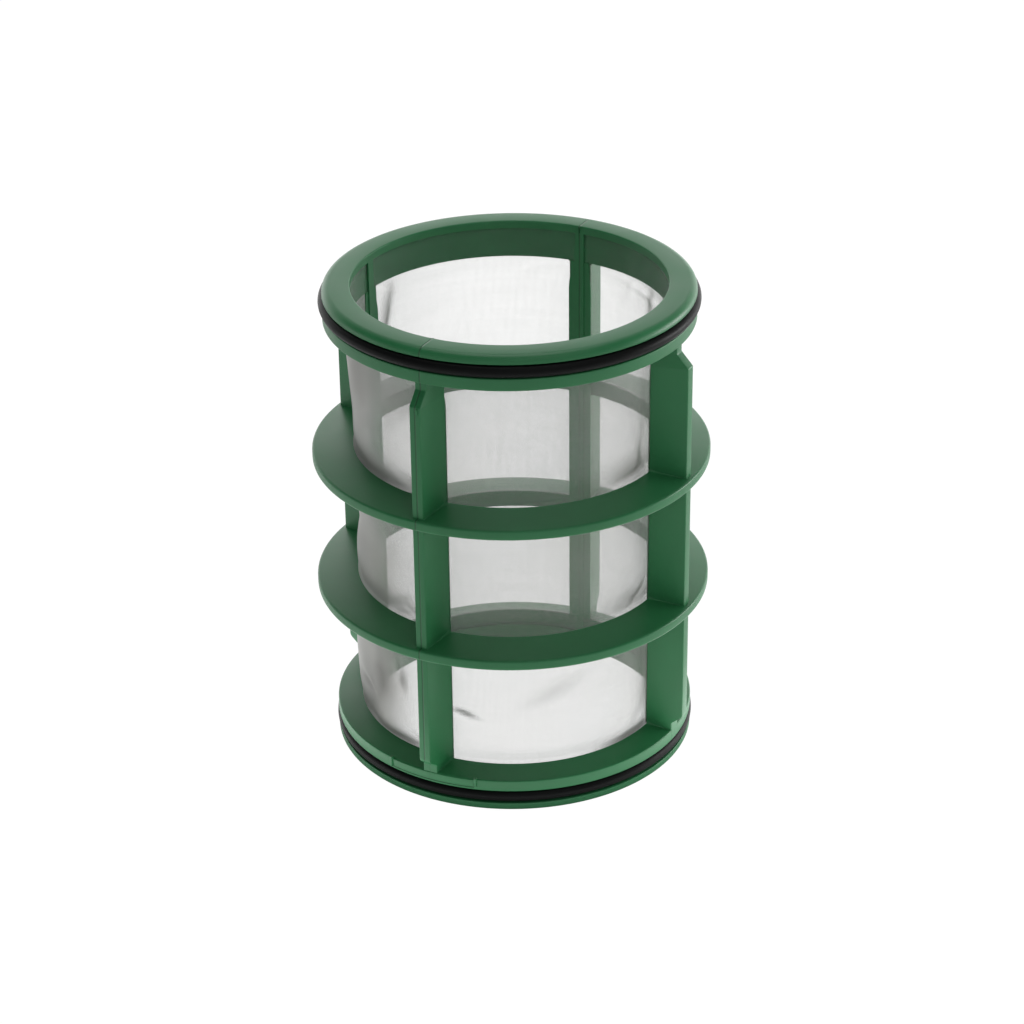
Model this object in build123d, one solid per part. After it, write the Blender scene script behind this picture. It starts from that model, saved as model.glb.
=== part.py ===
from build123d import *
import os
from math import cos, radians, sin

# Filter element for a liquid strainer. A screen of fine woven mesh is rolled into a tube, and a
# plastic cage is moulded round it: two end rings with a seal groove each, two hoops and four ribs.
# Millimetres. The origin is the centre of the lower end and +Z is the axis.
# The ribs stand between the X and Y axes, so the windows face along X and Y.

# Overall
height = 107.0
bore_r = 33.75  # clear radius inside the lips and the inner strips
rib_count = 4
first_rib_angle = 45.0

# Screen
mesh_t = 0.2  # thickness of the woven mesh
inner_skin_t = 0.35  # plastic that lies inside the mesh, at the lips and strips
upper_lip_h = 1.8  # solid plastic above the mesh
lower_lip_h = 4.3  # solid plastic below the mesh

# End rings
end_ring_wall = 5.5  # from the screen's outer face to the rim
upper_ring_h = 7.6  # height of the ring at its rim
lower_ring_h = 7.2
ring_root_rise = 1.0  # how far the side facing the window slopes on towards the screen
lip_edge_r = 1.7  # rounding of the top face's outer edge, drawn as two flats
outer_land_h = 1.9  # rim of the upper ring above its groove
base_land_h = 1.6  # rim of the lower ring below its groove

# Seals, one cord size in two grooves of different depth
seal_cord_d = 2.62
seal_flats = 8  # flats round the section of the cord
groove_w = 3.0
upper_groove_depth = 1.8
lower_groove_depth = 2.35

# Hoops, thicker at the root than at the rim
hoop_count = 2
hoop_depth = 8.9  # from the screen's outer face to the rim
hoop_rim_t = 2.25
hoop_root_t = 3.95
first_hoop_z = 37.75
hoop_pitch = 30.7

# Ribs, wider at the root than at the tip
rib_depth = 7.85  # from the screen's outer face to the tip
rib_tip_w = 2.5
rib_root_w = 5.1
rib_edge_break = 0.25
inner_strip_w = 2.1  # raised strip on the inner side of each rib
inner_land_w = 5.4  # plastic on the inner side of each rib, behind the strip
inner_land_relief = 0.15  # the land lies this far behind the strip

# Rib ends
neck_depth = 5.2  # rib just under the upper ring
neck_h = 1.6
shoulder_h = 2.9  # slope from the neck out to the rib's tip
foot_h = 1.9  # rib flush with the lower ring's rim
foot_slope_h = 1.6
foot_fillet = 0.9

# Raised patch on the rim of the lower ring, under the rib at the mould's parting line
patch_rib = 2
patch_half_angle = 14.8
patch_h = 1.9
patch_t = 0.12

# Derived sizes
mesh_r = bore_r + inner_skin_t
root_r = mesh_r + mesh_t
mesh_bottom = lower_lip_h
mesh_top = height - upper_lip_h
end_ring_r = root_r + end_ring_wall
hoop_r = root_r + hoop_depth
rib_tip_r = root_r + rib_depth
neck_r = root_r + neck_depth
hoop_mids = [first_hoop_z + hoop_pitch * i for i in range(hoop_count)]
rib_angles = [first_rib_angle + 360.0 / rib_count * i for i in range(rib_count)]


def tube(outer_r, inner_r, z0, z1):
    """A plain ring between two radii and two heights."""
    ring = Plane.XY.offset(z0) * (Circle(outer_r) - Circle(inner_r))
    return extrude(ring, z1 - z0)


def turned(points):
    """A closed profile of (radius, height) points, turned about the axis."""
    return revolve(Plane.XZ * make_face(Polyline(*points, close=True)), Axis.Z)


def upper_ring():
    """End ring with a seal groove, a lip over the top edge of the mesh and a rounded outer edge."""
    groove_top = height - outer_land_h
    groove_bottom = groove_top - groove_w
    groove_r = end_ring_r - upper_groove_depth
    underside = height - upper_ring_h
    edge_step = lip_edge_r * (1 - cos(radians(45)))
    points = [
        (root_r, mesh_top),
        (bore_r, mesh_top),
        (bore_r, height),
        (end_ring_r - lip_edge_r, height),
        (end_ring_r - edge_step, height - edge_step),
        (end_ring_r, height - lip_edge_r),
        (end_ring_r, groove_top),
        (groove_r, groove_top),
        (groove_r, groove_bottom),
        (end_ring_r, groove_bottom),
        (end_ring_r, underside),
        (root_r, underside - ring_root_rise),
    ]
    return turned(points)


def lower_ring():
    """End ring with a seal groove and a deeper lip under the bottom edge of the mesh."""
    groove_top = base_land_h + groove_w
    groove_r = end_ring_r - lower_groove_depth
    points = [
        (root_r, mesh_bottom),
        (bore_r, mesh_bottom),
        (bore_r, 0),
        (end_ring_r, 0),
        (end_ring_r, base_land_h),
        (groove_r, base_land_h),
        (groove_r, groove_top),
        (end_ring_r, groove_top),
        (end_ring_r, lower_ring_h),
        (root_r, lower_ring_h + ring_root_rise),
    ]
    return turned(points)


def hoop(mid_z):
    """Tapered hoop round the screen."""
    points = [
        (root_r, mid_z - hoop_root_t / 2),
        (hoop_r, mid_z - hoop_rim_t / 2),
        (hoop_r, mid_z + hoop_rim_t / 2),
        (root_r, mid_z + hoop_root_t / 2),
    ]
    return turned(points)


def rib():
    """One rib along +X: a tapered section, cut to the side view with its neck and foot."""
    half_tip = rib_tip_w / 2
    half_root = rib_root_w / 2
    section = make_face(
        Polyline(
            (bore_r, -half_root),
            (root_r, -half_root),
            (rib_tip_r, -half_tip),
            (rib_tip_r, half_tip),
            (root_r, half_root),
            (bore_r, half_root),
            close=True,
        )
    )
    section = chamfer(section.vertices().group_by(Axis.X)[-1], rib_edge_break)
    bar = extrude(section, height)

    # The rib runs a little way into each end ring, so that they join as one.
    bottom = base_land_h + groove_w
    top = height - outer_land_h - groove_w
    underside = height - upper_ring_h
    foot_top = lower_ring_h + foot_h
    side = [
        (bore_r, bottom),
        (end_ring_r, bottom),
        (end_ring_r, foot_top),
        (rib_tip_r, foot_top + foot_slope_h),
        (rib_tip_r, underside - neck_h - shoulder_h),
        (neck_r, underside - neck_h),
        (neck_r, top),
        (bore_r, top),
    ]
    view = Plane.XZ * make_face(Polyline(*side, close=True))
    heel = view.vertices().sort_by_distance(Vector(rib_tip_r, 0, side[3][1]))[0]
    view = fillet(heel, foot_fillet)
    return bar & extrude(view, rib_root_w, both=True)


def inner_skin():
    """Plastic inside the mesh at one rib along +X: a land between the rings and a raised strip."""
    land_z0 = lower_ring_h + ring_root_rise
    land_z1 = height - upper_ring_h - ring_root_rise
    land = tube(mesh_r, bore_r + inner_land_relief, land_z0, land_z1)
    land &= Pos(mesh_r / 2, 0, height / 2) * Box(mesh_r, inner_land_w, height)
    strip = tube(mesh_r, bore_r, mesh_bottom, mesh_top)
    strip &= Pos(mesh_r / 2, 0, height / 2) * Box(mesh_r, inner_strip_w, height)
    return land + strip


def rim_patch():
    """Shallow raised patch on the rim of the lower ring, centred on one rib."""
    shell = tube(end_ring_r + patch_t, end_ring_r - patch_t, lower_ring_h - patch_h, lower_ring_h)
    reach = end_ring_r + patch_t
    centre = radians(rib_angles[patch_rib])
    half = radians(patch_half_angle)
    far = reach / cos(half)
    wedge = make_face(
        Polyline(
            (0, 0),
            (far * cos(centre - half), far * sin(centre - half)),
            (far * cos(centre + half), far * sin(centre + half)),
            close=True,
        )
    )
    return shell & extrude(wedge, height)


def cage():
    """The whole moulding: end rings, hoops, ribs and the skin inside the mesh."""
    outside = upper_ring() + lower_ring()
    for mid_z in hoop_mids:
        outside += hoop(mid_z)
    one_rib = rib()
    for angle in rib_angles:
        outside += Rot(0, 0, angle) * one_rib
    outside += rim_patch()
    body = outside - tube(root_r, bore_r / 2, mesh_bottom, mesh_top)
    one_skin = inner_skin()
    for angle in rib_angles:
        body += Rot(0, 0, angle) * one_skin
    return body


def mesh_screen():
    """The rolled mesh, edge to edge between the two lips."""
    return tube(root_r, mesh_r, mesh_bottom, mesh_top)


def seal(groove_depth, mid_z):
    """A ring of round cord on the floor of its groove, its section drawn with a few flats."""
    cord_r = seal_cord_d / 2
    ring_r = end_ring_r - groove_depth + cord_r
    polygon = RegularPolygon(cord_r, seal_flats, major_radius=False, rotation=180 / seal_flats)
    return revolve(Plane.XZ * (Pos(ring_r, mid_z) * polygon), Axis.Z)


def main():
    os.makedirs("parts", exist_ok=True)
    pieces = {
        "cage": cage(),
        "mesh_screen": mesh_screen(),
        "seal_ring_upper": seal(upper_groove_depth, height - outer_land_h - groove_w / 2),
        "seal_ring_lower": seal(lower_groove_depth, base_land_h + groove_w / 2),
    }
    for name, piece in pieces.items():
        export_step(piece, f"parts/{name}.step")
        print(name, "solids", len(piece.solids()), "volume", round(piece.volume, 1))


main()
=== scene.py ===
# %% [markdown]
# # A mesh filter element
# The object is a strainer cartridge for a liquid. A sheet of fine woven mesh is rolled into a
# tube, and a green plastic cage is moulded round it: two end rings, two hoops and four ribs.
# A black rubber ring sits in a groove at each end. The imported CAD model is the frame, so each
# piece below is built at its place and size there, in metres.

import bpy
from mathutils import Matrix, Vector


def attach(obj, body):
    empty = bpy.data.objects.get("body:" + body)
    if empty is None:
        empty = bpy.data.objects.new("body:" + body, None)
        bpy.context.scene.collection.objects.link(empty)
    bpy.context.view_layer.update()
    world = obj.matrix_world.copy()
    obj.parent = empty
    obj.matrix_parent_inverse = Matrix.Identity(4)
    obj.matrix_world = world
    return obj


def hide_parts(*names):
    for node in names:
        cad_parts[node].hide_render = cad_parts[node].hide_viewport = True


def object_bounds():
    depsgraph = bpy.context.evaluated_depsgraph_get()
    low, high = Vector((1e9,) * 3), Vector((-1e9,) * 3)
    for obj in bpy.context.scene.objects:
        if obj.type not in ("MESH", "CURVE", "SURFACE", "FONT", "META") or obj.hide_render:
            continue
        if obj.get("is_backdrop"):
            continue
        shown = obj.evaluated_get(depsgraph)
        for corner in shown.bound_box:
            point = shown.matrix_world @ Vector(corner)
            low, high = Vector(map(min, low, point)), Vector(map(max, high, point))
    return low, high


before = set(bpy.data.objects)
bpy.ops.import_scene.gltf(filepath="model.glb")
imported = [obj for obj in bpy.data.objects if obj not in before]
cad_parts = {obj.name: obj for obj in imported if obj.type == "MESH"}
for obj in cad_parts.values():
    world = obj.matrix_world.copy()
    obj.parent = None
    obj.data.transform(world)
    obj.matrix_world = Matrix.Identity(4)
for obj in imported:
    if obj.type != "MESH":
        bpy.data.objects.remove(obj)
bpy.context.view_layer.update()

# %% [markdown]
# ## Sizes
# The pieces here could be the CAD's own meshes. They are drawn again instead, with softer edges,
# because a moulding never has a sharp one, and its edges are what catches the light. All lengths
# are in millimetres, and `MM` turns them into metres.

# %% Sizes of the part
from math import acos, cos, degrees, pi, radians, sin, sqrt, tan

import bmesh
import bpy
import numpy as np
from mathutils import Matrix, Vector

MM = 0.001
HEIGHT = 107.0
BORE_R = 33.75
SCREEN_R = 34.2  # middle of the mesh
ROOT_R = 34.3  # outer face of the mesh, where the ribs and hoops begin
RING_R = 39.8
HOOP_R = 43.2
MESH_LOW, MESH_TOP = 4.3, 105.2  # the mesh runs from lip to lip
LOWER_ROOT_Z, UPPER_ROOT_Z = 8.2, 98.4  # where the end rings meet the mesh
UPPER_GROOVE_R, LOWER_GROOVE_R = 38.0, 37.45
HOOP_MIDS = (37.75, 68.45)
HOOP_ROOT_HALF, HOOP_RIM_HALF = 1.975, 1.125
RIB_TIP_R = 42.15
RIB_ROOT_HALF, RIB_TIP_HALF = 2.55, 1.25
RIB_ANGLES = [45.0 + 90.0 * i for i in range(4)]
SEAM_ANGLE = 225.0  # the two halves of the mould met on this rib and on the one opposite
scene = bpy.context.scene

# %% [markdown]
# ## Outlines with soft corners
# A Bevel modifier would soften edges too. Rounding the outline before it becomes a solid costs
# fewer faces and gives each corner its own radius, so every piece starts from such an outline.

# %% Round the corners of an outline
def rounded(corners, steps=5):
    """A closed outline from (x, y, radius) corners, each corner swapped for a short arc."""
    outline = []
    for i, (x, y, radius) in enumerate(corners):
        here = Vector((x, y))
        back = (Vector(corners[i - 1][:2]) - here).normalized()
        ahead = (Vector(corners[(i + 1) % len(corners)][:2]) - here).normalized()
        half = acos(max(-1.0, min(1.0, back.dot(ahead)))) / 2
        if radius == 0 or half > 1.55:
            outline.append((x, y))
            continue
        reach = radius / tan(half)
        centre = here + (back + ahead).normalized() * (radius / sin(half))
        start = here + back * reach - centre
        sweep = start.angle_signed(here + ahead * reach - centre)
        for k in range(steps + 1):
            way = Matrix.Rotation(-sweep * k / steps, 2) @ start
            outline.append(tuple(centre + way))
    return outline


print("a square with soft corners has",
      len(rounded([(0, 0, 1), (4, 0, 1), (4, 4, 1), (0, 4, 1)])), "points")

# %% [markdown]
# ## The camera
# The photograph was taken with a long lens, from a little above. A camera can be aimed by eye
# until the outlines agree. Here its distance, height, turn and lens were worked out from the
# outlines of the rings, and each of those numbers can be read and changed.

# %% Camera
CAMERA_AZIMUTH = radians(-17.5)  # from the front towards the right
CAMERA_ELEVATION = radians(27.25)
CAMERA_DISTANCE = 638.3
CAMERA_ROLL = -0.0124
AIM_RIGHT, AIM_Z = -0.04, 51.79


def in_scene(name, data):
    """A new object in the scene."""
    thing = bpy.data.objects.new(name, data)
    scene.collection.objects.link(thing)
    return thing


def way_out(a, e):
    """The direction outwards from the part at an azimuth and an elevation."""
    return Vector((sin(a) * cos(e), -cos(a) * cos(e), sin(e)))


level_right = Vector((cos(CAMERA_AZIMUTH), sin(CAMERA_AZIMUTH), 0))
outward = way_out(CAMERA_AZIMUTH, CAMERA_ELEVATION)
level_up = outward.cross(level_right)
right = cos(CAMERA_ROLL) * level_right + sin(CAMERA_ROLL) * level_up
up = -sin(CAMERA_ROLL) * level_right + cos(CAMERA_ROLL) * level_up
aim = level_right * AIM_RIGHT + Vector((0, 0, AIM_Z))
lens = bpy.data.cameras.new("photo_camera")
lens.lens = 102.04
lens.sensor_width = 36.0
lens.clip_start, lens.clip_end = 0.05, 20.0
camera = in_scene("photo_camera", lens)
turn = Matrix((right, up, outward)).transposed()
camera.matrix_world = Matrix.Translation((aim + outward * CAMERA_DISTANCE) * MM) @ turn.to_4x4()
scene.camera = camera
print("camera at", [round(c, 4) for c in camera.location])

# %% [markdown]
# ## Node trees
# Shapes and finishes are both written as node trees below. In the editor they would be dragged
# together by hand. Three helpers do the same in one line each: one adds a node and sets it, one
# draws wires, and one leads results into sockets by name. Every tree for a shape ends in Realize
# Instances and Set Material, so what comes out is plain geometry with its finish on it.

# %% Helpers for node trees
def add(tree, kind, values=None, **settings):
    """A new node: its settings first, then the values of its sockets."""
    node = tree.nodes.new(kind)
    for key, value in settings.items():
        setattr(node, key, value)
    for socket, value in (values or {}).items():
        node.inputs[socket].default_value = value
    return node


def wire(*wires):
    """Wires, each from a node's output to another node's input."""
    for node, output, other, socket in wires:
        node.id_data.links.new(node.outputs[output], other.inputs[socket])


def into(node, **results):
    """Results into a node's sockets, by the sockets' names."""
    for label, result in results.items():
        node.id_data.links.new(result, node.inputs[label.replace("_", " ")])


def new_tree(name, inputs):
    """A shape tree with a geometry input, the named inputs and a finish, and its input node."""
    tree = bpy.data.node_groups.new(name, "GeometryNodeTree")
    tree.interface.new_socket("Geometry", in_out="INPUT", socket_type="NodeSocketGeometry")
    for label, kind, default in inputs:
        socket = tree.interface.new_socket(label, in_out="INPUT", socket_type=kind)
        socket.default_value = default
    tree.interface.new_socket("Finish", in_out="INPUT", socket_type="NodeSocketMaterial")
    tree.interface.new_socket("Geometry", in_out="OUTPUT", socket_type="NodeSocketGeometry")
    return tree, add(tree, "NodeGroupInput")


def end_tree(tree, start, shape, output):
    """The last three nodes of a shape tree, after the node that holds the shape."""
    real = add(tree, "GeometryNodeRealizeInstances")
    finish = add(tree, "GeometryNodeSetMaterial")
    end = add(tree, "NodeGroupOutput")
    wire((shape, output, real, "Geometry"), (real, "Geometry", finish, "Geometry"),
         (start, "Finish", finish, "Material"), (finish, "Geometry", end, "Geometry"))
    return tree


print("helpers ready")

# %% [markdown]
# ## Turned shapes
# The end rings, the hoops and the rubber rings are round: each is one outline carried round the
# axis. A Screw modifier could do it. A node tree was chosen, because one tree with its sizes as
# inputs serves every turned shape. The object's own mesh holds the outline, and Curve to Mesh
# carries it round a circle.

# %% The tree that turns an outline round the axis
def turning_tree():
    tree, start = new_tree("turn_an_outline", [("Path radius", "NodeSocketFloat", 0.04),
                                               ("Segments", "NodeSocketInt", 256)])
    outline = add(tree, "GeometryNodeMeshToCurve")
    path = add(tree, "GeometryNodeCurvePrimitiveCircle", mode="RADIUS")
    upright = add(tree, "GeometryNodeSetCurveNormal", mode="Z_UP")
    sweep = add(tree, "GeometryNodeCurveToMesh")
    wire((start, "Geometry", outline, "Mesh"), (start, "Path radius", path, "Radius"),
         (start, "Segments", path, "Resolution"), (path, "Curve", upright, "Curve"),
         (upright, "Curve", sweep, "Curve"), (outline, "Curve", sweep, "Profile Curve"))
    return end_tree(tree, start, sweep, "Mesh")


turning = turning_tree()
print("tree", turning.name, "with", len(turning.nodes), "nodes")

# %% [markdown]
# A modifier's inputs are set by the socket's identifier, before anything is evaluated. The
# result could stay live, but an exporter wants plain meshes. So it is read back as one, and the
# modifier goes with the helper object.

# %% Run a tree and keep its result as a plain mesh
def run_tree(source, tree, **values):
    """The mesh that a tree makes of an object, which is then removed."""
    modifier = source.modifiers.new(tree.name, "NODES")
    modifier.node_group = tree
    sockets = {s.name: s.identifier for s in tree.interface.items_tree if s.in_out == "INPUT"}
    for label, value in values.items():
        modifier[sockets[label.replace("_", " ")]] = value
    evaluated = source.evaluated_get(bpy.context.evaluated_depsgraph_get())
    made = bpy.data.meshes.new_from_object(evaluated)
    bpy.data.objects.remove(source, do_unlink=True)
    return made


SEGMENTS = 256


def turned(name, outline_mm, finish):
    """An outline of (radius, height) points turned round the axis, as one closed mesh."""
    # The sweep lays the outline's second axis downwards, so heights go in with the sign turned.
    verts = [((r - RING_R) * MM, -z * MM, 0) for r, z in outline_mm]
    edges = [(i, (i + 1) % len(verts)) for i in range(len(verts))]
    outline = bpy.data.meshes.new(name)
    outline.from_pydata(verts, edges, [])
    return run_tree(in_scene(name, outline), turning,
                    Path_radius=RING_R * MM, Segments=SEGMENTS, Finish=finish)


print("ready to turn rings of", SEGMENTS, "segments")

# %% [markdown]
# ## Finishes
# The finishes are procedural, because a picture of a surface would be tied to one size and one
# light. They are worked out from values: noise, arithmetic and changes of range. Each kind of
# step gets one helper that returns its result, so that a finish below reads from top to bottom.

# %% Helpers for values
def new_finish(name):
    """An empty material, its node tree and its output."""
    material = bpy.data.materials.new(name)
    material.use_nodes = True
    tree = material.node_tree
    tree.nodes.clear()
    return material, tree, add(tree, "ShaderNodeOutputMaterial")


def feed(node, *terms):
    """Numbers or results into a node's first sockets, and the result that comes out."""
    for socket, term in zip(node.inputs, terms):
        if isinstance(term, (int, float)):
            socket.default_value = term
        else:
            node.id_data.links.new(term, socket)
    return node.outputs[0]


def calc(operation, *terms, **settings):
    """One step of arithmetic, in the tree of the results it is given."""
    tree = next(term.id_data for term in terms if not isinstance(term, (int, float)))
    return feed(add(tree, "ShaderNodeMath", operation=operation, **settings), *terms)


def remap(value, *ranges, smooth=False):
    """A value carried from one range to another, and held at both ends."""
    kind = "SMOOTHSTEP" if smooth else "LINEAR"
    return feed(add(value.id_data, "ShaderNodeMapRange", interpolation_type=kind), value, *ranges)


def noise(place, scale, detail=2.0):
    node = add(place.id_data, "ShaderNodeTexNoise", {"Scale": scale, "Detail": detail})
    into(node, Vector=place)
    return node.outputs["Fac"]


print("value helpers ready")

# %% [markdown]
# Four more helpers turn values into what is seen: a colour, a darker colour, small relief and a
# mix of two shaders. Each finish could hold nodes of its own for that, but they would be alike.

# %% Helpers for colour, relief and mixing
def ramp(value, *stops, smooth=False):
    """A colour from a value, between stops of (value, colour)."""
    node = add(value.id_data, "ShaderNodeValToRGB")
    node.color_ramp.interpolation = "EASE" if smooth else "LINEAR"
    for _ in stops[2:]:
        node.color_ramp.elements.new(0.5)
    for element, (where, colour) in zip(node.color_ramp.elements, stops):
        element.position, element.color = where, (*colour, 1)
    return feed(node, value)


def darkened(colour, by, share):
    """A colour multiplied by a darker one, as far as a share from 0 to 1 says."""
    node = add(colour.id_data, "ShaderNodeMix", {"B": (*by, 1)}, data_type="RGBA",
               blend_type="MULTIPLY")
    into(node, Factor=share, A=colour)
    return node.outputs["Result"]


def bump(height, strength, depth_mm, invert=False, **over):
    """Small relief from a value, over another relief if one is given as its Normal."""
    node = add(height.id_data, "ShaderNodeBump",
               {"Strength": strength, "Distance": depth_mm * MM}, invert=invert)
    into(node, Height=height, **over)
    return node.outputs["Normal"]


def mixed(share, *shaders):
    """A mix of two shaders, by the share of the second."""
    node = add(shaders[0].id_data, "ShaderNodeMixShader")
    feed(node, share, *(shader.outputs[0] for shader in shaders))
    return node


print("colour helpers ready")

# %% [markdown]
# ## Marks that the mould left
# Where the two halves of the mould met, a hairline runs over the part, faint at the foot and
# clear up the ribs. An insert left a fine step along the lower rim. Both could be cut into the
# mesh, but they are thinner than a face. As rules on object coordinates they stay sharp. Each
# gives a small bump and a darker line in the colour, and that darker line is painted shade: the
# shade that falls in the hairline's groove and along the step. The seam's plane runs through the
# axis, so a turned coordinate tells how far a point is from it.

# %% Seam line and step
SEAM_HALF_WIDTH = 0.26
STEP_Z, STEP_HALF_LENGTH, STEP_R = 5.25, 9.6, 40.0
FOOT_END, RIB_START = 8.0, 12.0  # between these heights the line grows clear


def mould_marks_with_painted_shade(tree, place):
    """How strongly a mark shows at each point, from 0 to 1, for its bump and its painted shade."""
    turned_place = add(tree, "ShaderNodeMapping", {"Rotation": (0, 0, radians(SEAM_ANGLE))},
                       vector_type="TEXTURE")
    axes = add(tree, "ShaderNodeSeparateXYZ")
    into(turned_place, Vector=place)
    wire((turned_place, "Vector", axes, "Vector"))

    def band(axis, middle, inner, outer):
        """1 near one value of a coordinate and 0 away from it."""
        gap = calc("SUBTRACT", axes.outputs[axis], middle * MM)
        return remap(calc("ABSOLUTE", gap), inner * MM, outer * MM, 1, 0, smooth=True)

    step = band("Z", STEP_Z, 0.04, 0.2)
    for mask in (band("Y", 0, STEP_HALF_LENGTH, 10.2), band("X", STEP_R, 2, 3)):
        step = calc("MULTIPLY", step, mask)
    fading = remap(axes.outputs["Z"], FOOT_END * MM, RIB_START * MM, 0.2, 0.8)
    line = calc("MULTIPLY", band("Y", 0, 0, SEAM_HALF_WIDTH), fading)
    return calc("MAXIMUM", line, step)


print("seam line", 2 * SEAM_HALF_WIDTH, "mm wide")

# %% [markdown]
# ## The green moulded plastic
# The cage is satin polypropylene: a deep green body under a white sheen. One flat colour would
# look like paint. So the tone and the gloss drift a little with a slow noise, a fine grain and
# shallow sink marks come from two bumps, and the marks of the mould lie over them as a bump and
# as painted shade, a darker colour along their lines.

# %% Green plastic
def green_plastic():
    material, tree, out = new_finish("green_plastic")
    place = add(tree, "ShaderNodeTexCoord").outputs["Object"]
    body = add(tree, "ShaderNodeBsdfPrincipled", {"IOR": 1.49, "Specular IOR Level": 0.45})
    cloud = noise(place, 90, 3)
    tone = ramp(cloud, (0.3, (0.0285, 0.198, 0.072)), (0.7, (0.032, 0.219, 0.081)))
    marks = mould_marks_with_painted_shade(tree, place)
    grain = bump(noise(place, 2600), 0.12, 0.02)
    sink = bump(noise(place, 160), 0.25, 0.12, Normal=grain)
    # The mould marks darken the colour here: painted shade along the seam and the step.
    into(body, Base_Color=darkened(tone, (0.38, 0.42, 0.4), marks),
         Roughness=remap(cloud, 0.3, 0.7, 0.36, 0.43),
         Normal=bump(marks, 1, 0.1, invert=True, Normal=sink))
    wire((body, "BSDF", out, "Surface"))
    return material


green = green_plastic()
print("material", green.name, "with", len(green.node_tree.nodes), "nodes")

# %% [markdown]
# ## End rings and hoops
# Each end ring holds a square groove for its rubber ring and a lip that closes over the edge of
# the mesh. The hoops are thick at the root and thin at the rim, so that the moulding leaves its
# tool. Boxes and cylinders joined by booleans would give the same solids with worse faces. An
# outline per ring is simpler: its corners are listed with a radius each, and then turned.

# %% Turn the end rings and the hoops
upper_outline = rounded([
    (ROOT_R, UPPER_ROOT_Z, 0), (RING_R, 99.4, 0.35), (RING_R, 102.1, 0.25),
    (UPPER_GROOVE_R, 102.1, 0.2), (UPPER_GROOVE_R, 105.1, 0.2), (RING_R, 105.1, 0.2),
    (RING_R, HEIGHT, 1.65), (BORE_R, HEIGHT, 0.3), (BORE_R, MESH_TOP, 0.1),
    (ROOT_R, MESH_TOP, 0),
], steps=7)
lower_outline = rounded([
    (BORE_R, 0.0, 0.3), (RING_R, 0.0, 0.3), (RING_R, 1.6, 0.2), (LOWER_GROOVE_R, 1.6, 0.2),
    (LOWER_GROOVE_R, 4.6, 0.2), (RING_R, 4.6, 0.2), (RING_R, 7.2, 0.35),
    (ROOT_R, LOWER_ROOT_Z, 0), (ROOT_R, MESH_LOW, 0), (BORE_R, MESH_LOW, 0.35),
])


def hoop_outline(mid):
    root, rim = HOOP_ROOT_HALF, HOOP_RIM_HALF
    return rounded([(ROOT_R, mid - root, 0), (HOOP_R, mid - rim, 0.5),
                    (HOOP_R, mid + rim, 0.5), (ROOT_R, mid + root, 0)], steps=7)


cage_meshes = [turned("upper_ring", upper_outline, green),
               turned("lower_ring", lower_outline, green)]
cage_meshes += [turned("hoop", hoop_outline(mid), green) for mid in HOOP_MIDS]
print("turned", [len(m.polygons) for m in cage_meshes], "faces")

# %% [markdown]
# ## The ribs
# A rib is a tall bar whose section narrows outwards, cut away to a neck under the upper ring
# and to a foot on the lower one. It could be cut from a block, but its section changes all the
# way up. So it is lofted: sections stacked up the height, joined by faces. It is built once,
# along +X, and a node tree sets the four copies later.

# %% One rib along +X
NECK_FROM = 94.0  # from here up the rib is as narrow as its tip


def flank(r):
    """Half the rib's width at a radius."""
    narrowing = RIB_ROOT_HALF - RIB_TIP_HALF
    return RIB_ROOT_HALF - (r - ROOT_R) * narrowing / (RIB_TIP_R - ROOT_R)


def loft(sections):
    """A closed body from stacked sections with as many points each, and flat ends."""
    count = len(sections[0])
    verts = [p for section in sections for p in section]
    faces = [tuple(reversed(range(count))), tuple(range(len(verts) - count, len(verts)))]
    for level in range(0, len(verts) - count, count):
        for i in range(count):
            j = (i + 1) % count
            faces.append((level + i, level + j, level + count + j, level + count + i))
    return verts, faces


def rib_section(outer_r, z, edge=0.25, root_half=2.58):
    half = flank(outer_r) if z < NECK_FROM else RIB_TIP_HALF
    corners = [(SCREEN_R, -root_half, 0), (outer_r, -half, edge), (outer_r, half, edge),
               (SCREEN_R, root_half, 0)]
    return [(x, y, z) for x, y in rounded(corners)]


def side_view():
    """Radius and height of the rib's outer edge, from the foot to the neck."""
    line = rounded([(RING_R, 4.8, 0), (RING_R, 9.1, 0.5), (RIB_TIP_R, 10.9, 1.3),
                    (RIB_TIP_R, 94.9, 0.5), (39.5, 97.8, 0.5), (39.5, 102.0, 0),
                    (30.0, 102.0, 0), (30.0, 4.8, 0)], steps=6)
    return [p for p in line if p[0] > 35]


rib_parts = [loft([rib_section(r, z) for r, z in side_view()])]
print("rib sections", len(side_view()))

# %% [markdown]
# Inside the mesh each rib shows a flat land and a raised strip that runs from lip to lip. They
# could be straight bars, but they follow the curve of the screen, so they are lofted from curved
# sections. Where the rib runs into a ring or a hoop it gets coves, narrow fillets that widen
# towards the screen, because plastic never meets itself in a knife-sharp corner.

# %% Land, strip and coves
def curved_bar(inner_r, outer_r, half_width, z):
    """One section of a bar that follows the screen's curve."""
    ys = [half_width * k / 4 for k in range(-4, 5)]
    inner = [(sqrt(inner_r ** 2 - y * y), y, z) for y in ys]
    outer = [(sqrt(outer_r ** 2 - y * y), y, z) for y in reversed(ys)]
    return inner + outer


def cove(r0, z0, r1, z1, way, side):
    """A fillet where one flank of the rib meets a ring or hoop face, widest at the screen."""
    sections = []
    early_z = z0 + (z1 - z0) * 1.5 / (r1 - r0)
    for r, z, size in ((r0, z0, 0.75), (r0 + 1.5, early_z, 0.3), (r1, z1, 0.12)):
        y = flank(r)
        points = [(r, side * (y - 0.15), z - way * 0.15), (r, side * (y - 0.02), z + way * size)]
        for k in range(1, 5):
            a = k / 5 * pi / 2
            points.append((r, side * (y + size * (1 - cos(a))), z + way * size * (1 - sin(a))))
        points.append((r, side * (y + size), z - way * 0.02))
        sections.append(points)
    return loft(sections)


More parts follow.
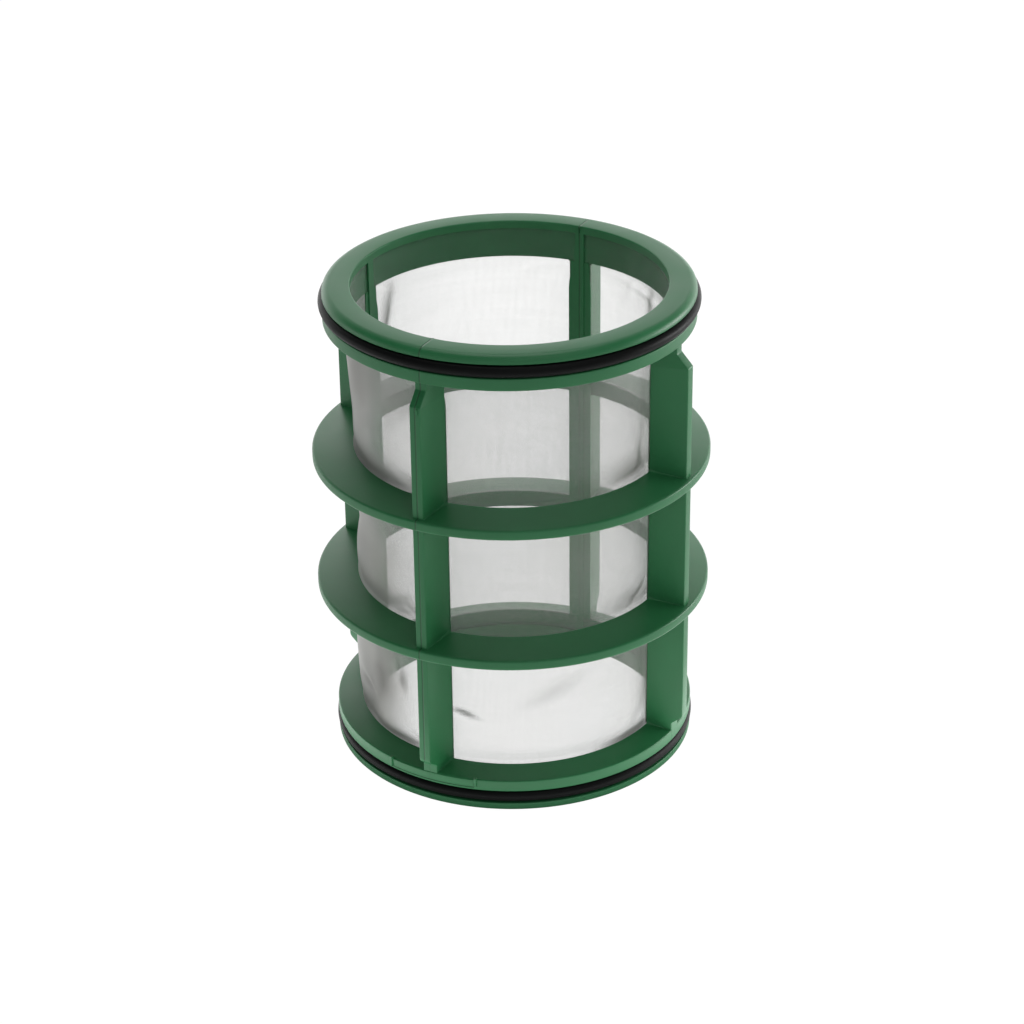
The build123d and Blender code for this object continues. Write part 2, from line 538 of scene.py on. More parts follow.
land_levels = [(LOWER_ROOT_Z, 2.7), (92.0, 2.7), (93.5, 2.6), (95.0, 2.3), (UPPER_ROOT_Z, 2.2)]
rib_parts.append(loft([curved_bar(34.02, SCREEN_R, half, z) for z, half in land_levels]))
rib_parts.append(loft([curved_bar(BORE_R, SCREEN_R - 0.05, 1.05, z) for z in (4.2, 105.3)]))
cove_lines = [(ROOT_R, LOWER_ROOT_Z, RING_R - 0.3, 7.3, 1), (ROOT_R, UPPER_ROOT_Z, 39.4, 99.3, -1)]
for mid in HOOP_MIDS:
    cove_lines.append((ROOT_R, mid + HOOP_ROOT_HALF, 41.9, mid + 1.25, 1))
    cove_lines.append((ROOT_R, mid - HOOP_ROOT_HALF, 41.9, mid - 1.25, -1))
for line_ends in cove_lines:
    rib_parts += [cove(*line_ends, side) for side in (1, -1)]

# %% [markdown]
# Blender needs one mesh from these lists. The bodies overlap a little, and a boolean union could
# merge them. It isn't needed: each body is closed, so they render as one. Doubled points are
# merged, the faces turned outwards, and only clear edges stay sharp.

# %% One mesh for the rib
def merged(name, meshes, smooth_angle=radians(35), doubles=0.0005):
    """Closed meshes as one, smooth, with its faces outwards and no doubled points."""
    work = bmesh.new()
    for mesh in meshes:
        work.from_mesh(mesh)
    bmesh.ops.remove_doubles(work, verts=work.verts, dist=doubles * MM)
    bmesh.ops.recalc_face_normals(work, faces=work.faces)
    for face in work.faces:
        face.material_index = 0
        face.smooth = True
    result = bpy.data.meshes.new(name)
    work.to_mesh(result)
    work.free()
    result.set_sharp_from_angle(angle=smooth_angle)
    return result


def closed_mesh(name, verts_mm, faces):
    """One closed mesh in metres from points in millimetres and faces."""
    raw = bpy.data.meshes.new("raw")
    raw.from_pydata([tuple(c * MM for c in v) for v in verts_mm], [], faces)
    mesh = merged(name, [raw], doubles=0.001)
    bpy.data.meshes.remove(raw)
    return mesh


verts, faces = [], []
for part_verts, part_faces in rib_parts:
    faces += [tuple(i + len(verts) for i in face) for face in part_faces]
    verts += part_verts
one_rib = in_scene("one_rib", closed_mesh("one_rib", verts, faces))
print("one rib", len(one_rib.data.polygons), "faces")

# %% [markdown]
# The four ribs stand evenly round the axis. They could be copied in a loop. A node tree keeps the
# count and the first angle as inputs instead: it sets an instance on each of a few points and
# turns it by its index.

# %% The tree that sets copies round the axis
def copies_tree():
    tree, start = new_tree("copies_round_the_axis", [("Count", "NodeSocketInt", 4),
                                                     ("First angle", "NodeSocketFloat", 0.0)])
    points = add(tree, "GeometryNodePoints")
    index = add(tree, "GeometryNodeInputIndex")
    spin = add(tree, "ShaderNodeCombineXYZ")
    stand = add(tree, "GeometryNodeInstanceOnPoints")
    step = calc("DIVIDE", 2 * pi, start.outputs["Count"])
    into(spin, Z=calc("MULTIPLY_ADD", index.outputs["Index"], step,
                      start.outputs["First angle"]))
    wire((start, "Count", points, "Count"), (points, "Points", stand, "Points"),
         (start, "Geometry", stand, "Instance"), (spin, "Vector", stand, "Rotation"))
    return end_tree(tree, start, stand, "Instances")


cage_meshes.append(run_tree(one_rib, copies_tree(), Count=len(RIB_ANGLES),
                            First_angle=radians(RIB_ANGLES[0]), Finish=green))
print("ribs", len(cage_meshes[-1].polygons), "faces")

# %% [markdown]
# ## The patch and the small marks of moulding
# Under the seam's rib the lower rim carries a shallow raised patch, left by an insert in the
# mould, with a tick at each of its ends. Thin fins of plastic stand in the seam at the upper lip,
# and a few chips lie on the rims of the hoops. A bump can't stand out from the outline, so
# they are real bodies: the patch is lofted along the rim, and the rest are small blocks.

# %% Patch and blocks
def rim_patch(half_angle=14.8, proud=0.12, low=5.3, high=7.05, steps=24):
    sections = []
    for k in range(steps + 1):
        a = radians(SEAM_ANGLE - half_angle + 2 * half_angle * k / steps)
        outline = rounded([(RING_R - 0.2, low, 0.0), (RING_R + proud, low, 0.08),
                           (RING_R + proud, high, 0.08), (RING_R - 0.2, high, 0.0)], steps=3)
        sections.append([(r * cos(a), r * sin(a), z) for r, z in outline])
    return loft(sections)


def block(angle, r0, r1, y0, y1, z0, z1, soft=0.05):
    """A small body at one angle, between two radii, two widths and two heights."""
    outline = rounded([(r0, y0, soft), (r1, y0, soft), (r1, y1, soft), (r0, y1, soft)], steps=4)
    a = radians(angle)
    return loft([[(r * cos(a) - y * sin(a), r * sin(a) + y * cos(a), z) for r, y in outline]
                 for z in (z0, z1)])


ticks = [block(SEAM_ANGLE + side * 14.9, 39.3, 40.3, -0.36, 0.36, low, 7.5, 0.3)
         for side, low in ((1, 5.6), (-1, 5.2))]
fins = [block(angle, 33.45, 33.9, -0.14, 0.14, 105.5, 106.9)
        for angle in (SEAM_ANGLE, SEAM_ANGLE - 180)]
fins.append(block(SEAM_ANGLE, 41.9, 42.4, 0.15, 0.75, 93.4, 94.6))
chance = np.random.default_rng(7)
chips = []
for mid, count in zip(HOOP_MIDS, (5, 9)):
    for angle in chance.uniform(255, 312, count):
        wide, high = chance.uniform(0.15, 0.5), chance.uniform(0.12, 0.3)
        chips.append(block(angle, 42.9, 43.12, -wide, wide, mid + 0.75, mid + 0.75 + high))
cage_meshes.append(closed_mesh("rim_patch", *rim_patch()))
cage_meshes += [closed_mesh("small_mark", *body) for body in ticks + fins + chips]
print("a patch,", len(ticks), "ticks,", len(fins), "fins and", len(chips), "chips")

# %% [markdown]
# ## One piece for the cage
# The real cage came out of the mould in one shot, so it is one piece here too. Join in the editor
# would do it. The script merges the meshes as before and gives the result its one finish.

# %% Join the cage
def finished(name, meshes, finish, **how):
    """Closed meshes as one piece with one finish."""
    mesh = merged(name, meshes, **how)
    mesh.materials.append(finish)
    return in_scene(name, mesh)


def triangles(piece):
    return sum(len(p.vertices) - 2 for p in piece.data.polygons)


cage = finished("cage_moulding", cage_meshes, green)
print("cage", triangles(cage), "triangles")

# %% [markdown]
# ## The rubber rings
# Both are round black cord of one size. The upper groove is shallower, so that ring stands out
# further. Add Mesh has a torus for this, but the turning tree is ready and places each ring by
# its groove. Clean rubber would be too even: one noise breaks its sheen and its tone, as a film
# of oil does.

# %% Rubber rings
CORD_R = 1.31
UPPER_SEAL_Z, LOWER_SEAL_Z = 103.6, 3.1  # middles of the grooves


def black_rubber():
    material, tree, out = new_finish("black_rubber")
    body = add(tree, "ShaderNodeBsdfPrincipled", {"Specular IOR Level": 0.13})
    smear = noise(add(tree, "ShaderNodeTexCoord").outputs["Object"], 220, 4)
    tone = ramp(smear, (0.0, (0.0032, 0.0038, 0.0038)), (1.0, (0.0054, 0.0062, 0.0062)))
    into(body, Base_Color=tone, Roughness=remap(smear, 0, 1, 0.38, 0.52),
         Normal=bump(smear, 0.15, 0.05))
    wire((body, "BSDF", out, "Surface"))
    return material


def cord_outline(floor_r, z, points=24):
    around = [2 * pi * k / points for k in range(points)]
    return [(floor_r + CORD_R + CORD_R * cos(a), z + CORD_R * sin(a)) for a in around]


def rubber_ring(name, floor_r, z):
    cord = turned("cord", cord_outline(floor_r, z), rubber)
    return finished(name, [cord], rubber, smooth_angle=radians(80))


rubber = black_rubber()
upper_seal = rubber_ring("upper_rubber_ring", UPPER_GROOVE_R, UPPER_SEAL_Z)
lower_seal = rubber_ring("lower_rubber_ring", LOWER_GROOVE_R, LOWER_SEAL_Z)
print("rubber rings", triangles(upper_seal) + triangles(lower_seal), "triangles")

# %% [markdown]
# ## The woven mesh
# The screen is one sheet of fine woven mesh in dull grey thread. It is held at the rings, the
# hoops and the ribs, and hangs a little slack between them. A cloth simulation would find hardly
# any fall in such a stiff, short sheet, and its dents come from handling. So the sheet is a grid
# wrapped round the axis, whose points are moved in or out by rules. It is finest along the
# plastic, where the sheet bends most.

# %% Grid of the sheet
SCREEN_T = 0.1
PER_DEGREE = radians(1) * SCREEN_R
HELD = degrees(RIB_ROOT_HALF / SCREEN_R)  # half the angle that a rib's root covers
CLEAR = 0.1  # the plastic that fills the weave ends this far behind the window's border
BEHIND_BORDER = HELD - degrees(CLEAR / SCREEN_R)
TIERS = list(zip([LOWER_ROOT_Z, *(mid + HOOP_ROOT_HALF for mid in HOOP_MIDS)],
                 [*(mid - HOOP_ROOT_HALF for mid in HOOP_MIDS), UPPER_ROOT_Z]))
ROWS_ABOVE = [[HOOP_MIDS[0]], [HOOP_MIDS[1]], [100.6, 102.9, 105.15]]  # inside the plastic


def graded(low, high, fine, coarse, band):
    """Grid lines across one window, closer together in a band along each side."""
    near, far = round(band / fine), round((high - low - 2 * band) / coarse)
    return np.concatenate([np.linspace(low, low + band, near, endpoint=False),
                           np.linspace(low + band, high - band, far, endpoint=False),
                           np.linspace(high - band, high, near + 1)])


z_rows = [4.35, 6.3]
for tier, (low, high) in enumerate(TIERS):
    coarse = 0.6 if tier == 0 else 0.8
    z_rows += [low - CLEAR, *graded(low, high, 0.33, coarse, 3.0), high + CLEAR]
    z_rows += ROWS_ABOVE[tier]
columns = []
for a in RIB_ANGLES:
    columns += [a - 2.1, a, a + 2.1, a + BEHIND_BORDER]
    columns += [*(a + graded(HELD, 90 - HELD, 0.65, 1.4, 5.2)), a + 90 - BEHIND_BORDER]
z_rows, columns = np.array(z_rows), np.array(columns)
grid_angle, grid_z = np.meshgrid(columns, z_rows)
ROWS, COLUMNS = len(z_rows) - 1, len(columns)
print("grid of", COLUMNS, "columns and", ROWS, "rows")

# %% [markdown]
# ## Slack, folds and bruises
# Every window bellies by its own amount and is pressed in a little along its sill. Short folds
# run out of its corners, where the sheet was slightly too long. Larger folds and dents lie where
# the real part has them. Sculpting could set them by hand. A list is chosen, because each line
# can be read, moved or taken out.

# %% Slack and folds
chance = np.random.default_rng(12)
# Each window, counted from the rib at its left: middle, depth and reach of the sill's hollow.
SLACK = {
    (0, 0): (0.4, 0.5, 2), (0, 1): (0.3, 0.5, 2), (0, 2): (0.4, 0.5, 2),
    (1, 0): (0.8, 0.2, 1.8), (1, 1): (0.25, 0.3, 2.2), (1, 2): (0.65, 0.3, 2.4),
    (2, 0): (0.35, 0.25, 1.8), (2, 1): (0.25, 0.5, 2), (2, 2): (0.3, 0.5, 2),
    (3, 0): (0.5, 0.5, 2), (3, 1): (0.35, 0.55, 2.2), (3, 2): (0.5, 0.6, 2.4),
}
# Folds: angle, height, direction on the sheet, half length, half width, how far they stand out.
FOLDS = [
    (236.5, 57, 5, 6, 1.6, -0.3), (293, 49.5, -45, 4.5, 1, 0.3),
    (271, 27, 22, 8, 2.2, -0.7), (233.8, 19.9, -13, 2.5, 0.8, -0.6),
    (208, 23.5, -70, 4, 0.9, 0.4), (185, 16.8, -12, 5, 1, -0.35),
    (199, 17, 80, 9, 3.6, 0.5), (187, 16, 84, 10, 3.2, -0.5),
    (189, 17.4, -14, 3, 0.9, 0.3), (163, 79, 90, 7, 9, -0.7),
    (163, 94, 0, 10, 4, 0.4), (163, 53.5, 0, 10, 5, -1.1),
    (208, 43, 35, 4, 1, -0.5), (303, 72, 5, 5, 1.3, -0.4),
    (306, 76, 90, 5, 1.5, -0.5), (262, 84, -28, 7, 1.2, -0.12),
    (127.3, 90.5, 106, 7.5, 1.9, -0.95), (63.2, 96, -30, 3, 0.8, -0.4),
    (10, 95.6, 8, 9, 0.9, -0.35), (22, 94.5, -60, 3, 0.9, -0.35),
    (8, 93, -75, 4, 1, -0.4), (306, 43, 40, 4, 1, -0.45),
    (305, 12, 50, 4, 1.5, -0.2),
]
for rib_angle in RIB_ANGLES:
    for low, high in TIERS:
        for side, z, tilt in ((1, low, 1), (1, high, -1), (-1, low, -1), (-1, high, 1)):
            way, run = chance.uniform(25, 65), chance.uniform(2.5, 5.0)
            beside = side * (HELD + run * cos(radians(way)) / PER_DEGREE)
            above = (1 if z == low else -1) * run * sin(radians(way))
            FOLDS.append((rib_angle + beside, z + above, tilt * way, run,
                          chance.uniform(0.7, 1.2), chance.uniform(-0.28, -0.06)))
print(len(FOLDS), "folds")

# %% [markdown]
# Handling has also bruised the weave in places: its holes have closed. The same list darkens the
# threads there and in bands just above the rings and hoops, and that darkening is painted shade.
# That changes the look more than the shape, so the bruises are a list of their own for the
# finish. A fold and a bruise are both a soft ridge on the sheet, strongest in the middle.

# %% Bruised places
# Angle, height, direction on the sheet, half length, half width, share of the holes closed, which
# also sets how deep the painted shade is.
BRUISES_AND_PAINTED_SHADE = [
    (185, 19, 90, 12, 9.5, 0.72), (209, 24, -82, 2.4, 0.7, 0.6),
    (196, 21, 80, 6, 4, 0.8), (171, 12.5, 0, 11, 5, 0.95),
    (206, 8.8, -3, 8, 1.2, 0.8), (233.8, 19.9, -13, 2.4, 0.45, 0.9),
    (208, 92.5, 0, 9, 5, 0.3), (184, 92, 90, 12, 7, 0.55),
    (170, 81, 90, 7, 4, 0.6), (180, 71.5, 0, 14, 3.2, 1.2),
    (206, 70.5, 0, 9, 2.2, 0.5), (192, 42, 0, 14, 2.6, 0.45),
    (182, 52, 0, 11, 7, 0.45), (311, 18.5, 90, 7, 2, 0.3),
    (300, 8.5, 2, 7, 0.9, 1.0), (302, 73.5, 0, 8, 3.2, 0.3),
    (302, 42.5, 0, 7, 2.4, 0.2), (268, 25.5, 22, 7, 1.6, 0.12),
    (127.3, 90.5, 106, 6, 1.8, 0.4), (9, 94, -75, 4, 1.2, 0.35),
]


def ridges(places, total):
    """The soft ridges of a list, summed at each point of the grid."""
    for angle, z, way, half_length, half_width, height in places:
        across_angle = ((grid_angle - angle + 180) % 360 - 180) * PER_DEGREE
        up, way = grid_z - z, radians(way)
        along = across_angle * cos(way) + up * sin(way)
        across = up * cos(way) - across_angle * sin(way)
        total += height * np.exp(-(along / half_length) ** 2 - (across / half_width) ** 2)
    return total


folds = ridges(FOLDS, np.zeros_like(grid_z))
print("folds reach from", round(folds.min(), 2), "to", round(folds.max(), 2), "mm")

# %% [markdown]
# The sheet is fast where it meets plastic, so every movement fades to nothing there. Inside a
# window three things add up: the belly, the folds, and a line pressed in along the border. The
# belly and the pressed line waver with soft waves, so that no two windows look alike.

# %% How far the sheet stands in or out
def lift(d, reach=0.8):
    """0 at the plastic, 1 from a short distance on."""
    return np.sin(np.clip(d / reach, 0, 1) * pi / 2) ** 2


def hollow(d, first, reach):
    """0 at the plastic, 1 at the pressed line and back to 0 further in."""
    return np.where(d < first, lift(d, first), np.exp(-((d - first) / reach) ** 2))


def soft_waves(u, v, waves):
    """Waves with random directions, lengths in mm, summed and scaled to about one."""
    total = np.zeros_like(u)
    for low, high, turn_low, turn_high in waves:
        for _ in range(9):
            length = chance.uniform(low, high)
            way = radians(chance.uniform(turn_low, turn_high))
            total += np.sin(2 * pi * (u * cos(way) + v * sin(way)) / length
                            + chance.uniform(0, 2 * pi)) / 3
    return total / len(waves)


def window_offset(k, tier, wander):
    """Where one window is, and how far its sheet stands out at each point."""
    width = (90 - 2 * HELD) * PER_DEGREE
    low, high = TIERS[tier]
    middle, sill, sill_reach = SLACK[k, tier]
    edge = 0.05 if k < 2 else 0.03
    u = ((grid_angle - RIB_ANGLES[k]) % 360 - HELD) * PER_DEGREE
    s, t = np.clip(u / width, 0, 1), np.clip((grid_z - low) / (high - low), 0, 1)
    sides = lift(u) * lift(width - u)
    ends = lift(grid_z - low) * lift(high - grid_z)
    round_u, round_z = 1 - np.abs(2 * s - 1) ** 3, 1 - np.abs(2 * t - 1) ** 2.5
    belly = (middle + 0.12 * wander) * round_u * round_z
    pressed = np.minimum.reduce([
        -sill * (0.85 + 0.3 * wander) * hollow(grid_z - low, 0.6, sill_reach) * sides,
        -2 * edge * (0.9 + 0.6 * wander) * hollow(high - grid_z, 1.2, 1.8) * sides,
        -edge * (1 + wander) * hollow(u, 1.4, 2.4) * ends,
        -edge * (1 + wander) * hollow(width - u, 1.4, 2.4) * ends])
    here = (u > 0) & (u < width) & (grid_z > low) & (grid_z < high)
    return here, belly + pressed + folds * sides * ends


wander = soft_waves(grid_angle * PER_DEGREE, grid_z, [(14, 30, -25, 25), (9, 18, 60, 120)])
out_by = np.zeros_like(grid_z)
for k, tier in SLACK:
    here, offset = window_offset(k, tier, wander)
    out_by = np.where(here, offset, out_by)
print("sheet moves between", round(out_by.min(), 2), "and", round(out_by.max(), 2), "mm")

# %% [markdown]
# The finish has to know two things that no noise can tell it, so they are stored on each point.
# `bedded` is 1 where the plastic has flowed through the holes, and the weave hardly shows.
# `closed_holes_and_painted_shade` is the share of the holes that is closed, and it also darkens
# the threads as painted shade: a little at the border of a window, where the threads lie closer,
# and more at the bruises. A painted map could hold both, but it would be a picture.

# %% Marks for the finish
def window_marks():
    """For each point, whether plastic fills the weave, and its holes closed and painted shade."""
    from_rib = np.minimum.reduce([np.abs((grid_angle - a + 180) % 360 - 180) for a in RIB_ANGLES])
    inside = (from_rib - HELD) * PER_DEGREE
    from_end = np.full_like(grid_z, -1.0)
    for low, high in TIERS:
        from_end = np.maximum(from_end, np.minimum(grid_z - low, high - grid_z))
    depth = np.minimum(inside, from_end)
    at_border = 0.04 * np.exp(-np.clip(depth, 0, None) / 1.1)
    return {"bedded": (depth < -0.02).astype(float), "closed_holes_and_painted_shade": ridges(BRUISES_AND_PAINTED_SHADE, at_border)}


marks = window_marks()
print("plastic fills", round(100 * marks["bedded"].mean()), "% of the points")

# %% [markdown]
# Solidify could thicken the sheet. It is built with both faces at once instead, so that its ends
# are closed and its own map runs in metres along the threads: round the tube and up it.

# %% Build the sheet with its own map
def screen_sheet(name):
    """Outer and inner face of the sheet, closed at both ends, with a map in metres."""
    turns = np.radians(grid_angle)
    faces_r = [SCREEN_R + out_by + side * SCREEN_T / 2 for side in (1, -1)]
    points = [np.stack([r * np.cos(turns), r * np.sin(turns), grid_z], -1) for r in faces_r]
    inner, last = grid_z.size, ROWS * COLUMNS  # where the inner face and the top row start
    bands = [(first + j * COLUMNS, first + (j + 1) * COLUMNS, j, j + 1, first > 0)
             for first in (0, inner) for j in range(ROWS)]
    bands += [(inner, 0, 0, 0, False), (inner + last, last, ROWS, ROWS, True)]
    u_lines = np.append(columns, columns[0] + 360) * PER_DEGREE
    faces, places = [], []
    for lower, upper, row, next_row, flip in bands:
        for i in range(COLUMNS):
            n = (i + 1) % COLUMNS
            corners = [(lower + i, i, row), (lower + n, i + 1, row),
                       (upper + n, i + 1, next_row), (upper + i, i, next_row)]
            if flip:
                corners.reverse()
            faces.append([point for point, _, _ in corners])
            places += [(u_lines[column], z_rows[line]) for _, column, line in corners]
    mesh = bpy.data.meshes.new(name)
    mesh.from_pydata(np.reshape(points, (-1, 3)) * MM, [], faces)
    mesh.uv_layers.new(name="sheet_map").data.foreach_set("uv", np.ravel(places) * MM)
    mesh.shade_smooth()
    for label, values in marks.items():
        mark = mesh.attributes.new(label, "FLOAT", "POINT")
        mark.data.foreach_set("value", np.tile(values.ravel(), 2))
    return in_scene(name, mesh)


screen = screen_sheet("woven_screen")
print("screen", triangles(screen), "triangles")

# %% [markdown]
# ## Threads and holes
# The threads are too fine to build: there would be millions of crossings. The finish says
# instead how much of each spot is thread and how much is hole. It starts from a soft wave for
# each thread direction, faint streaks along both and a slow cloudiness, so that it doesn't look
# like a grey film. It ends with the slant: a woven sheet closes up when it is seen at an angle,
# as a louvre does.

# %% How much of the sheet is thread
THREAD_PITCH = 0.254
LEAST_THREAD = 0.085  # what threads cover at the least, seen square on
HIDDEN = 0.78  # the share of the threads that plastic hides where it fills the weave


def streaks(tree, place, scale_u, scale_v):
    """Noise drawn out along one thread direction."""
    stretch = add(tree, "ShaderNodeVectorMath", {1: (scale_u, scale_v, 1)}, operation="MULTIPLY")
    return noise(feed(stretch, place), 1)


def thread_share(tree, place, closed):
    """The share of each spot that threads cover, from 0 to 1, as it is seen."""
    axes = add(tree, "ShaderNodeSeparateXYZ")
    into(axes, Vector=place)
    terms = []
    for axis in ("X", "Y"):
        turns = calc("MULTIPLY", axes.outputs[axis], 2 * pi / (THREAD_PITCH * MM))
        terms.append((calc("MULTIPLY_ADD", calc("SINE", turns), 0.5, 0.5), 0.1))
    for scale_u, scale_v, share in ((900, 40, 0.02), (40, 900, 0.03), (60, 60, 0.04)):
        terms.append((streaks(tree, place, scale_u, scale_v), share))
    thread = 0.0
    for result, share in terms:
        thread = calc("MULTIPLY_ADD", result, share, thread)
    thread = calc("ADD", calc("ADD", closed, thread), LEAST_THREAD)
    sunk = add(tree, "ShaderNodeAttribute", attribute_name="bedded").outputs["Fac"]
    thread = calc("MULTIPLY", thread, calc("MULTIPLY_ADD", sunk, -HIDDEN, 1))
    facing = add(tree, "ShaderNodeLayerWeight", {"Blend": 0.5}).outputs["Facing"]
    slanted = calc("DIVIDE", thread, calc("SUBTRACT", 1.02, facing))
    open_share = calc("EXPONENT", calc("MULTIPLY", slanted, -1))
    return calc("SUBTRACT", 1, open_share, use_clamp=True)


print("threads", THREAD_PITCH, "mm apart")

# %% [markdown]
# The holes are a Transparent shader and let straight light through. The threads are a dull grey
# with a slight metallic sheen, which a fine wire and a plastic thread both have at this size,
# and some light glows through them. Where the weave is bruised, and just above the rings and
# hoops, the threads are darkened: that is painted shade.

# %% Woven mesh
def woven_mesh():
    material, tree, out = new_finish("woven_mesh")
    place = add(tree, "ShaderNodeUVMap", uv_map="sheet_map").outputs["UV"]
    closed = add(tree, "ShaderNodeAttribute", attribute_name="closed_holes_and_painted_shade").outputs["Fac"]
    tone = ramp(streaks(tree, place, 35, 35),
                (0.35, (0.53, 0.535, 0.53)), (0.65, (0.55, 0.54, 0.515)))
    thread = add(tree, "ShaderNodeBsdfPrincipled", {"Metallic": 0.35, "Roughness": 0.5})
    # The darker thread colour here is painted shade, set by the same mark that closes the holes.
    into(thread, Base_Color=darkened(tone, (0.36, 0.36, 0.35), closed))
    glow = add(tree, "ShaderNodeBsdfTranslucent", {"Color": (0.5, 0.5, 0.485, 1)})
    hole = add(tree, "ShaderNodeBsdfTransparent")
    cloth = mixed(thread_share(tree, place, closed), hole, mixed(0.3, thread, glow))
    wire((cloth, "Shader", out, "Surface"))
    return material


weave = woven_mesh()
screen.data.materials.append(weave)
print("material", weave.name, "with", len(weave.node_tree.nodes), "nodes")

# %% [markdown]
# ## The light table
# The part stands on a white table that shines up at it, brightest in a ring close round it and
# on the camera's left and right. A lamp under glass would be slow. A floor that glows by distance
# from its middle gives the same light without noise.

# %% Glow of the table
TABLE_STOPS = ((0.0, 0.3), (0.212, 0.2), (0.235, 1.2), (0.275, 1.2), (0.36, 0.36), (0.7, 0.34),
               (1.0, 0.22))
FARTHEST_STOP = 0.2  # metres from the middle


def glowing_paint(tree, far, sideways):
    """White paint that glows, by distance from the middle and way across the view."""
    paint = add(tree, "ShaderNodeBsdfDiffuse", {"Color": (0.85, 0.85, 0.85, 1)})
    lit = add(tree, "ShaderNodeEmission")
    table = add(tree, "ShaderNodeAddShader")
    glow = ramp(calc("MULTIPLY", far, 1 / FARTHEST_STOP),
                *((where, (bright,) * 3) for where, bright in TABLE_STOPS), smooth=True)
    slope = calc("DIVIDE", sideways, far)
    wings = calc("MULTIPLY_ADD", calc("MULTIPLY", slope, slope), 0.7, 1)
    into(lit, Strength=calc("MULTIPLY", glow, wings))
    wire((paint, "BSDF", table, 0), (lit, "Emission", table, 1))
    return paint, table


print("table glows within", FARTHEST_STOP, "m")

# %% [markdown]
# In the photograph the table has burnt out to plain white. More light would burn out the part as
# well, so only the camera's rays, and those that glow through the threads, see white there. A
# little of the table's real shade keeps the part's shadow. Inside the tube the table lies in the
# part's own shade, deepest along the left wall.

# %% Table as the camera sees it
PLAIN_WHITE, BEHIND_SCREEN = 1.06, 1.34
# The tube's inside gets painted shade: the camera's white is dimmed there, deepest along the left
# wall.
TUBE_EDGE = (0.0362, 0.0378)  # radii, in metres, between which the part's own shade ends
PAINTED_SHADE_SPREAD = (-0.033, -0.020)  # across the view, in metres, from deep to light shade


def camera_white(tree):
    """The share of rays that see plain white, and that white, brighter behind the screen."""
    ray = add(tree, "ShaderNodeLightPath").outputs
    seen = calc("MAXIMUM", ray["Is Camera Ray"], ray["Is Transmission Ray"])
    return seen, remap(ray["Transparent Depth"], 0, 1, PLAIN_WHITE, BEHIND_SCREEN)


def light_table():
    material, tree, out = new_finish("light_table")
    place = add(tree, "ShaderNodeTexCoord")
    distance = add(tree, "ShaderNodeVectorMath", operation="LENGTH")
    across = add(tree, "ShaderNodeVectorMath", {1: level_right}, operation="DOT_PRODUCT")
    wire((place, "Object", distance, 0), (place, "Object", across, 0))
    far, sideways = distance.outputs["Value"], across.outputs["Value"]
    paint, table = glowing_paint(tree, far, sideways)

    seen, white = camera_white(tree)
    # Painted shade on the table inside the tube.
    painted_shade = add(tree, "ShaderNodeMix", {"B": 1.0}, data_type="FLOAT")
    into(painted_shade, Factor=remap(far, *TUBE_EDGE, 0, 1),
         A=remap(sideways, *PAINTED_SHADE_SPREAD, 0.42, 0.88, smooth=True))
    plain = add(tree, "ShaderNodeEmission")
    into(plain, Strength=calc("MULTIPLY", white, painted_shade.outputs["Result"]))
    pick = mixed(seen, table, mixed(0.95, paint, plain))
    wire((pick, "Shader", out, "Surface"))
    return material


reach = 3.0
table_mesh = bpy.data.meshes.new("floor")
table_mesh.from_pydata([(-reach, -reach, 0), (reach, -reach, 0), (reach, reach, 0),
                        (-reach, reach, 0)], [], [(0, 1, 2, 3)])
table_mesh.materials.append(light_table())
floor = in_scene("floor", table_mesh)
floor.location.z = -0.0002  # under the part, so that no two faces share a plane
floor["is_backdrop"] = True
print("light table", 2 * reach, "m wide")

# %% [markdown]
# ## The room
# The walls are white and a little brighter behind the part than on the camera's side. A picture
# of a studio would light it too, but a rule is plainer: the light grows towards the back wall
# and the camera's wall, and is least on the left and right, where the lamps stand.

# %% World
def white_studio():
    world = bpy.data.worlds.new("white_studio")
    world.use_nodes = True
    tree = world.node_tree
    tree.nodes.clear()
    out = add(tree, "ShaderNodeOutputWorld")
    way = add(tree, "ShaderNodeTexCoord")
    to_back = -way_out(CAMERA_AZIMUTH, 0)
    towards = add(tree, "ShaderNodeVectorMath", {1: to_back}, operation="DOT_PRODUCT")
    wire((way, "Generated", towards, 0))
    back = towards.outputs["Value"]
    squared = calc("MULTIPLY", back, back)
    level = calc("MULTIPLY", squared, remap(back, -0.1, 0.1, 0.6, 0.85))
    seen, white = camera_white(tree)
    room, plain = add(tree, "ShaderNodeBackground"), add(tree, "ShaderNodeBackground")
    into(room, Strength=level)
    into(plain, Strength=white)
    wire((mixed(seen, room, plain), "Shader", out, "Surface"))
    return world


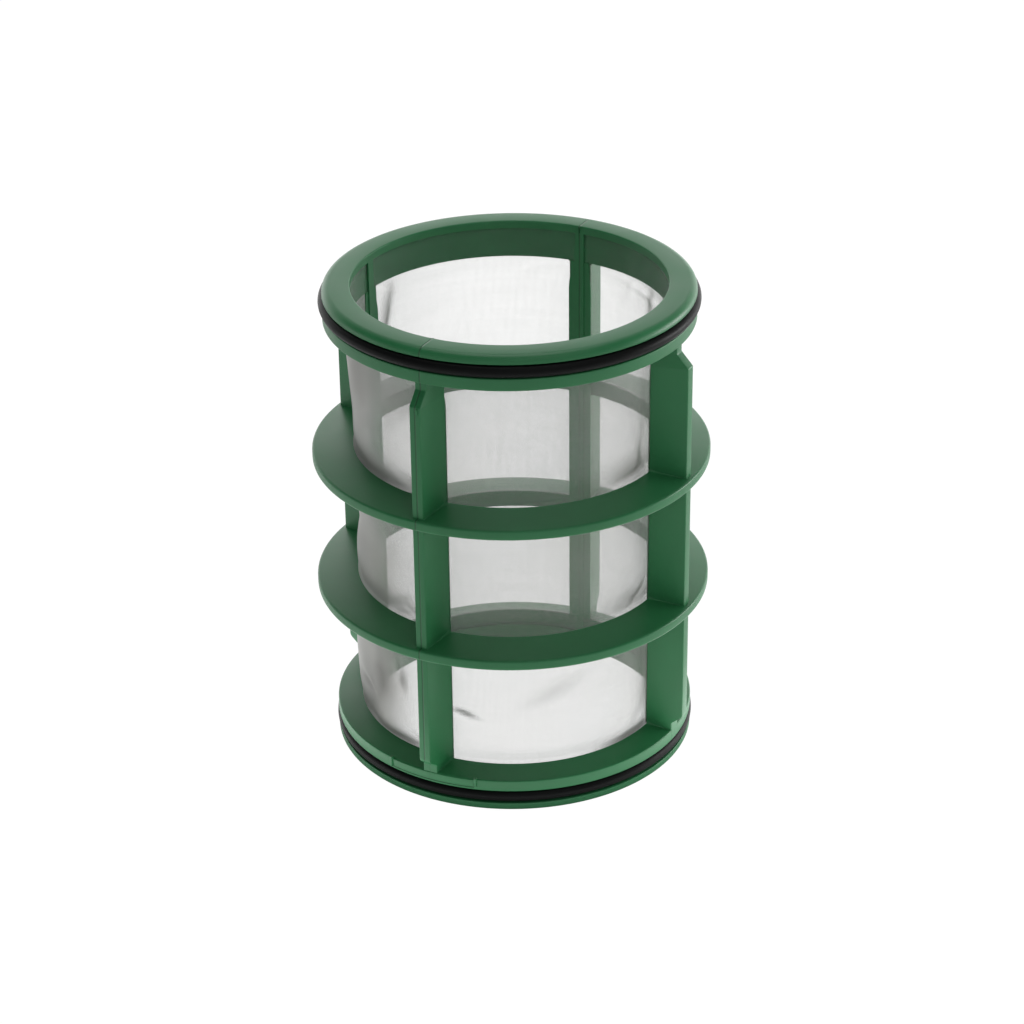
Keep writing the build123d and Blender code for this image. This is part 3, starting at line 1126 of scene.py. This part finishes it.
scene.world = white_studio()
print("world", scene.world.name)

# %% [markdown]
# Five soft boxes shape the part. The large one on the right lights the flanks of the ribs and
# the rims, a weak one on the left fills, a small one stands above, a faint one beside the
# camera, and a low card behind is what the top face and the hoops mirror. Point lamps would
# leave hard spots on satin plastic, so these are area lamps.

# %% Lamps
def softbox(name, azimuth, elevation, distance, width, height, radiance, aim_z=0.05):
    """A flat lamp at an angle from the camera's own azimuth, turned to the part."""
    outward = way_out(CAMERA_AZIMUTH + radians(azimuth), radians(elevation))
    lamp = bpy.data.lights.new(name, "AREA")
    lamp.shape = "RECTANGLE"
    lamp.size, lamp.size_y = width, height
    lamp.energy = radiance * pi * width * height
    box = in_scene(name, lamp)
    box.location = outward * distance + Vector((0, 0, aim_z))
    box.rotation_euler = outward.to_track_quat("Z", "Y").to_euler()
    box.visible_camera = False


softbox("right_softbox", 106, 4, 0.75, 0.45, 0.32, 7)
softbox("left_softbox", -95, 2, 0.75, 0.5, 0.3, 1.1)
softbox("top_softbox", 180, 78, 0.55, 0.36, 0.36, 2)
softbox("front_softbox", 30, 52, 0.6, 0.4, 0.3, 0.6)
softbox("back_card", 180, 0, 0.36, 0.9, 0.25, 1.4, aim_z=0.125)
print("lamps", [lamp.name for lamp in bpy.data.lights])

# %% [markdown]
# ## Put the pieces in place
# Each piece takes the place of its CAD node, which is hidden, and rides on the one body. The
# view transform is Standard, so a colour renders as it is written.

for piece, node, slot in ((cage, "cage", "cage_plastic"), (screen, "mesh_screen", "screen_mesh"),
                          (upper_seal, "seal_ring_upper", "seal_rubber"),
                          (lower_seal, "seal_ring_lower", "seal_rubber")):
    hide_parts(node)
    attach(piece, "root")
scene.view_settings.view_transform = "Standard"

# %% [markdown]
# The box of the finished pieces, which should lie inside the CAD's box, is measured and printed.

# %% Measure the box of the pieces
low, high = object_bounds()
print("visual box", [round(c, 4) for c in low], [round(c, 4) for c in high])
